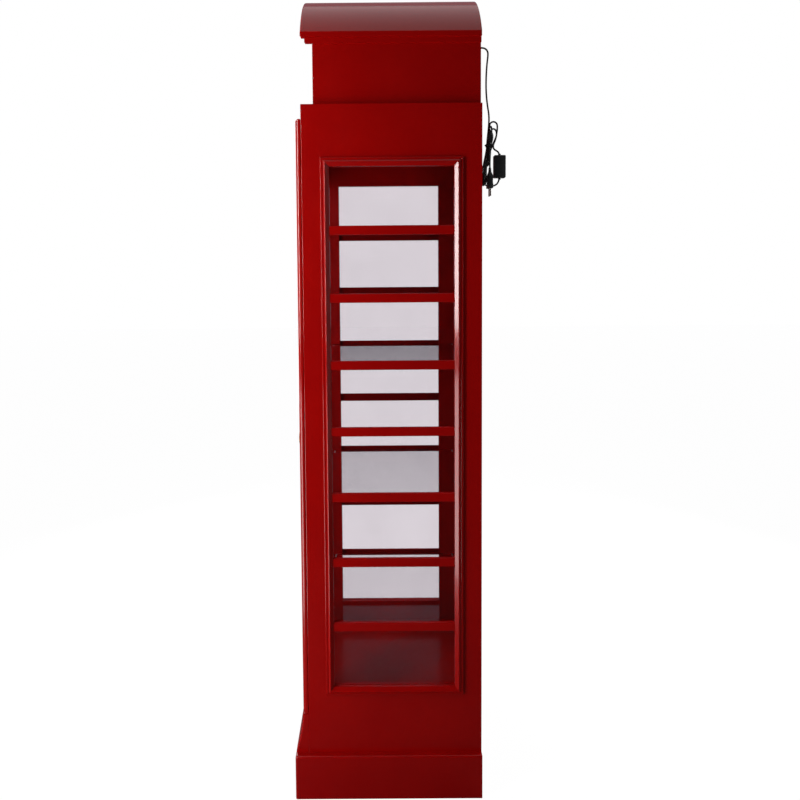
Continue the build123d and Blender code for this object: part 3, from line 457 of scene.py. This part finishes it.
# ---------------------------------------------------------------- materials
class Finish:
    """A node material around one Principled shader, with short calls for its usual nodes."""

    def __init__(self, name):
        self.material = bpy.data.materials.new(name)
        self.material.use_nodes = True
        self.tree = self.material.node_tree
        self.shader = self.tree.nodes["Principled BSDF"]
        self.output = self.tree.nodes["Material Output"]
        self.place = self.node("ShaderNodeTexCoord").outputs["Object"]

    def node(self, kind, **values):
        made = self.tree.nodes.new(kind)
        for key, value in values.items():
            setattr(made, key, value)
        return made

    def join(self, source, target):
        self.tree.links.new(source, target)

    def value(self, socket, amount):
        self.shader.inputs[socket].default_value = amount

    def stretched(self, x, y, z):
        """The place with each axis scaled."""
        mapping = self.node("ShaderNodeMapping")
        mapping.inputs["Scale"].default_value = (x, y, z)
        self.join(self.place, mapping.inputs["Vector"])
        return mapping.outputs["Vector"]

    def noise(self, scale, detail=3.0, rough=0.5, at=None):
        made = self.node("ShaderNodeTexNoise")
        made.inputs["Scale"].default_value = scale
        made.inputs["Detail"].default_value = detail
        made.inputs["Roughness"].default_value = rough
        self.join(at or self.place, made.inputs["Vector"])
        return made.outputs["Fac"]

    def ranged(self, source, low, high, from_low=0.3, from_high=0.7):
        made = self.node("ShaderNodeMapRange")
        made.inputs["From Min"].default_value = from_low
        made.inputs["From Max"].default_value = from_high
        made.inputs["To Min"].default_value = low
        made.inputs["To Max"].default_value = high
        self.join(source, made.inputs["Value"])
        return made.outputs["Result"]

    def blend(self, factor, first, second):
        """A colour between two colours or sockets."""
        made = self.node("ShaderNodeMix", data_type="RGBA")
        self.join(factor, made.inputs["Factor"])
        for name, colour in (("A", first), ("B", second)):
            socket = [s for s in made.inputs if s.name == name and s.type == "RGBA"][0]
            if isinstance(colour, tuple):
                socket.default_value = (*colour, 1.0)
            else:
                self.join(colour, socket)
        return [s for s in made.outputs if s.type == "RGBA"][0]

    def colour(self, source):
        self.join(source, self.shader.inputs["Base Color"])

    def roughness(self, source):
        self.join(source, self.shader.inputs["Roughness"])

    def bump(self, *layers):
        """Bumps on top of one another, each (height socket, distance in mm, strength)."""
        below = None
        for height, distance, strength in layers:
            made = self.node("ShaderNodeBump")
            made.inputs["Distance"].default_value = distance * MM
            made.inputs["Strength"].default_value = strength
            self.join(height, made.inputs["Height"])
            if below is not None:
                self.join(below, made.inputs["Normal"])
            below = made.outputs["Normal"]
        self.join(below, self.shader.inputs["Normal"])


def lacquer():
    """Sprayed satin red lacquer: cloudy depth, orange peel and a trace of the board's grain."""
    f = Finish("lacquer")
    cloud = f.noise(5, 4, 0.6)
    fine = f.noise(90, 2)
    deep = f.blend(f.ranged(cloud, 0, 1), (0.37, 0.0016, 0.0009), (0.31, 0.0008, 0.0008))
    f.colour(f.blend(f.ranged(fine, 0, 0.35), deep, (0.29, 0.0006, 0.0007)))
    smears = f.noise(14, 3, 0.6, at=f.stretched(1, 1, 0.35))
    f.roughness(f.ranged(smears, 0.17, 0.23))
    peel = f.noise(420, 1.5)
    grain = f.noise(260, 2, 0.6, at=f.stretched(1, 1, 0.03))
    f.bump((grain, 0.05, 0.25), (peel, 0.06, 0.3))
    f.value("IOR", 1.5)
    f.value("Coat Weight", 0.25)
    f.value("Coat Roughness", 0.08)
    return f.material


def bare_board():
    """Unpainted fibreboard: short fibres in a warm brown felt."""
    f = Finish("bare_board")
    fibre = f.noise(700, 5, 0.7)
    cloud = f.noise(20, 3)
    base = f.blend(f.ranged(fibre, 0, 1), (0.46, 0.31, 0.17), (0.31, 0.2, 0.1))
    f.colour(f.blend(f.ranged(cloud, 0, 0.4), base, (0.38, 0.26, 0.15)))
    f.roughness(f.ranged(fibre, 0.78, 0.95))
    f.bump((fibre, 0.15, 0.5))
    return f.material


def bare_wood():
    """Planed softwood with growth rings along the grain."""
    f = Finish("bare_wood")
    rings = f.node("ShaderNodeTexWave", wave_type="BANDS", bands_direction="DIAGONAL")
    rings.inputs["Scale"].default_value = 55
    rings.inputs["Distortion"].default_value = 7
    rings.inputs["Detail"].default_value = 3
    f.join(f.stretched(1, 1, 0.12), rings.inputs["Vector"])
    fibre = f.noise(500, 4, at=f.stretched(1, 1, 0.06))
    base = f.blend(rings.outputs["Fac"], (0.6, 0.42, 0.23), (0.44, 0.26, 0.11))
    f.colour(f.blend(f.ranged(fibre, 0, 0.4), base, (0.36, 0.22, 0.1)))
    f.roughness(f.ranged(fibre, 0.6, 0.78))
    f.bump((rings.outputs["Fac"], 0.15, 0.3), (fibre, 0.06, 0.4))
    return f.material


def clear_glass(name, first, second):
    """Clear float glass with faint waviness and a little haze; lamps shine through it."""
    f = Finish(name)
    f.value("Transmission Weight", 1.0)
    f.value("IOR", 1.5)
    haze = f.noise(9, 4, 0.6)
    f.colour(f.blend(f.ranged(haze, 0, 1), first, second))
    f.roughness(f.ranged(haze, 0.0, 0.02, 0.45, 0.75))
    f.bump((f.noise(6, 1), 0.25, 0.1))
    clear = f.node("ShaderNodeBsdfTransparent")
    clear.inputs["Color"].default_value = (*second, 1)
    mix = f.node("ShaderNodeMixShader")
    f.join(f.node("ShaderNodeLightPath").outputs["Is Shadow Ray"], mix.inputs["Fac"])
    f.join(f.shader.outputs["BSDF"], mix.inputs[1])
    f.join(clear.outputs["BSDF"], mix.inputs[2])
    f.join(mix.outputs["Shader"], f.output.inputs["Surface"])
    return f.material


def opal_acrylic():
    """Opal acrylic: milky, with light inside it and very small ripples."""
    f = Finish("opal_acrylic")
    cloud = f.noise(25, 3)
    f.colour(f.blend(f.ranged(cloud, 0, 1), (0.84, 0.83, 0.79), (0.79, 0.78, 0.73)))
    f.roughness(f.ranged(f.noise(60, 2), 0.16, 0.24))
    f.value("Subsurface Weight", 0.35)
    f.value("Subsurface Scale", 0.004)
    f.bump((f.noise(120, 1), 0.02, 0.3))
    return f.material


def metal(name, first, second, rough_low, rough_high, brushed):
    """Metal with tarnish clouds and fine polishing or brushing lines."""
    f = Finish(name)
    f.value("Metallic", 1.0)
    tarnish = f.noise(60, 4, 0.6)
    lines = f.noise(1500, 2, at=f.stretched(1, 1, 0.05 if brushed else 0.6))
    f.colour(f.blend(f.ranged(tarnish, 0, 1), first, second))
    f.roughness(f.ranged(lines, rough_low, rough_high))
    f.bump((lines, 0.01, 0.3 if brushed else 0.1))
    return f.material


def white_metal():
    """White powder coat with its fine pebbled skin."""
    f = Finish("white_metal")
    pebble = f.noise(900, 2)
    f.colour(f.blend(f.ranged(f.noise(40, 3), 0, 1), (0.8, 0.8, 0.79), (0.75, 0.75, 0.73)))
    f.roughness(f.ranged(pebble, 0.38, 0.52))
    f.bump((pebble, 0.04, 0.5))
    return f.material


def black(name, first, second, rough_low, rough_high, spark_scale, depth):
    """Moulded black plastic or rubber with a spark-eroded texture."""
    f = Finish(name)
    spark = f.noise(spark_scale, 2)
    cloud = f.noise(70, 3)
    f.colour(f.blend(f.ranged(cloud, 0, 1), first, second))
    f.roughness(f.ranged(spark, rough_low, rough_high))
    f.bump((spark, depth, 0.6))
    return f.material


# metal: two colours, lowest and highest roughness, brushed or not;
# black: two colours, lowest and highest roughness, the texture's scale and its depth in mm.
FINISHES = {
    "lacquer": lacquer(),
    "bare_board": bare_board(),
    "bare_wood": bare_wood(),
    "clear_glass": clear_glass("clear_glass", (0.9, 0.865, 0.895), (0.865, 0.83, 0.86)),
    "shelf_glass": clear_glass("shelf_glass", (0.985, 0.985, 0.985), (0.965, 0.97, 0.97)),
    "opal_acrylic": opal_acrylic(),
    "polished_brass": metal(
        "polished_brass", (0.66, 0.45, 0.17), (0.52, 0.33, 0.12), 0.2, 0.34, brushed=False,
    ),
    "nickel_brass": metal(
        "nickel_brass", (0.5, 0.48, 0.44), (0.4, 0.38, 0.35), 0.24, 0.36, brushed=False,
    ),
    "zinc_steel": metal(
        "zinc_steel", (0.6, 0.61, 0.63), (0.46, 0.48, 0.52), 0.26, 0.42, brushed=True,
    ),
    "white_metal": white_metal(),
    "black_plastic": black(
        "black_plastic", (0.016, 0.016, 0.017), (0.011, 0.011, 0.012), 0.4, 0.55, 2200, 0.03,
    ),
    "black_rubber": black(
        "black_rubber", (0.014, 0.014, 0.014), (0.02, 0.02, 0.02), 0.55, 0.75, 1500, 0.05,
    ),
    "black_cord": black(
        "black_cord", (0.013, 0.012, 0.013), (0.019, 0.018, 0.019), 0.36, 0.5, 1200, 0.04,
    ),
}


def paint(piece, finish):
    """Gives a piece one finish in place of whatever it had."""
    piece.data.materials.clear()
    piece.data.materials.append(FINISHES[finish])


for subpart in frame["record"]["subparts"]:
    paint(nodes[subpart["node"]], subpart["material_slot"])
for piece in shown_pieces():
    if "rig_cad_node" not in piece:
        paint(piece, piece["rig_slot"])
paint(nodes["glass_shelves"], "shelf_glass")


# ---------------------------------------------------------------- floor, sky and lights
BETWEEN_NO_BOUNCE_AND_ONE = 0.5


def seen_directly(tree):
    """1 for what the eye meets, straight or through glass, and 0 for light and reflections."""
    path = tree.nodes.new("ShaderNodeLightPath")
    bounces = tree.nodes.new("ShaderNodeMath")
    bounces.operation = "ADD"
    tree.links.new(path.outputs["Diffuse Depth"], bounces.inputs[0])
    tree.links.new(path.outputs["Glossy Depth"], bounces.inputs[1])
    none = tree.nodes.new("ShaderNodeMath")
    none.operation = "LESS_THAN"
    none.inputs[1].default_value = BETWEEN_NO_BOUNCE_AND_ONE
    tree.links.new(bounces.outputs["Value"], none.inputs[0])
    return none.outputs["Value"]


FLOOR_HALF_SIZE = 12.0
FLOOR_GREY, FLOOR_ROUGHNESS, FLOOR_GLOW = 0.03, 0.9, 0.975
bm = bmesh.new()
bmesh.ops.create_grid(bm, x_segments=1, y_segments=1, size=FLOOR_HALF_SIZE)
floor_mesh = bpy.data.meshes.new("floor")
bm.to_mesh(floor_mesh)
bm.free()
floor = link("floor", floor_mesh)
floor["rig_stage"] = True
floor_finish = Finish("floor")
tree = floor_finish.tree
floor_finish.value("Roughness", FLOOR_ROUGHNESS)
floor_finish.value("Base Color", (FLOOR_GREY, FLOOR_GREY, FLOOR_GREY, 1))
glow = tree.nodes.new("ShaderNodeMath")
glow.operation = "MULTIPLY"
glow.inputs[1].default_value = FLOOR_GLOW
tree.links.new(seen_directly(tree), glow.inputs[0])
floor_finish.value("Emission Color", (1, 1, 1, 1))
tree.links.new(glow.outputs["Value"], floor_finish.shader.inputs["Emission Strength"])
floor.data.materials.append(floor_finish.material)

# Seen directly the world is white. Lighting and reflections get a dim one, lighter towards -X and
# almost black towards +X, where the photo was taken from.
WORLD_RANGE = {"From Min": -0.35, "From Max": 0.45, "To Min": 0.18, "To Max": 0.006}
WORLD_TINT = (1.0, 0.95, 1.08, 1)
world = bpy.data.worlds.new("studio")
scene.world = world
world.use_nodes = True
tree = world.node_tree
background = tree.nodes["Background"]
direction = tree.nodes.new("ShaderNodeTexCoord")
axes = tree.nodes.new("ShaderNodeSeparateXYZ")
tree.links.new(direction.outputs["Generated"], axes.inputs["Vector"])
studio = tree.nodes.new("ShaderNodeMapRange")
studio.interpolation_type = "SMOOTHSTEP"
for socket, amount in WORLD_RANGE.items():
    studio.inputs[socket].default_value = amount
tree.links.new(axes.outputs["X"], studio.inputs["Value"])
# A Mix node has sockets of the same name for each kind of data, so they are picked by number.
sky = tree.nodes.new("ShaderNodeMix")
sky.data_type = "FLOAT"
sky_factor, sky_dark, sky_white = sky.inputs[0], sky.inputs[2], sky.inputs[3]
tree.links.new(seen_directly(tree), sky_factor)
tree.links.new(studio.outputs["Result"], sky_dark)
sky_white.default_value = 1.0
tree.links.new(sky.outputs[0], background.inputs["Strength"])
tint = tree.nodes.new("ShaderNodeMix")
tint.data_type = "RGBA"
tint_factor, tint_dark, tint_white = tint.inputs[0], tint.inputs[6], tint.inputs[7]
tint_dark.default_value = WORLD_TINT
tint_white.default_value = (1, 1, 1, 1)
tree.links.new(seen_directly(tree), tint_factor)
tree.links.new(tint.outputs[2], background.inputs["Color"])


def softbox(name, place, target, width, height, energy):
    """A soft rectangular lamp aimed at a point."""
    data = bpy.data.lights.new(name, "AREA")
    data.shape = "RECTANGLE"
    data.size, data.size_y, data.energy = width, height, energy
    lamp = link(name, data)
    aim = (Vector(target) - Vector(place)).to_track_quat("-Z", "Y")
    lamp.matrix_world = Matrix.Translation(Vector(place)) @ aim.to_matrix().to_4x4()
    lamp.visible_camera = lamp.visible_transmission = False


# (name, place, target, width, height, watts)
SOFTBOXES = (
    ("key", (0.66, -0.72, 1.5), (0.2, 0.0, 1.5), 0.1, 0.9, 6.6),
    ("key_low", (0.75, -0.85, 0.35), (0.2, 0.0, 0.35), 0.6, 1.0, 9),
    ("fill", (1.0, 1.25, 1.2), (0.2, 0.0, 1.2), 0.05, 1.8, 1.9),
    ("top", (-0.2, 0.0, 3.4), (-0.2, 0.0, 1.9), 1.7, 2.8, 8),
    ("behind", (-1.3, 1.7, 1.3), (0.0, 0.0, 1.0), 1.0, 1.6, 22),
    ("far_side", (-1.6, -1.2, 1.3), (0.0, 0.0, 1.0), 1.0, 1.6, 18),
)
for box in SOFTBOXES:
    softbox(*box)

low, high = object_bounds()
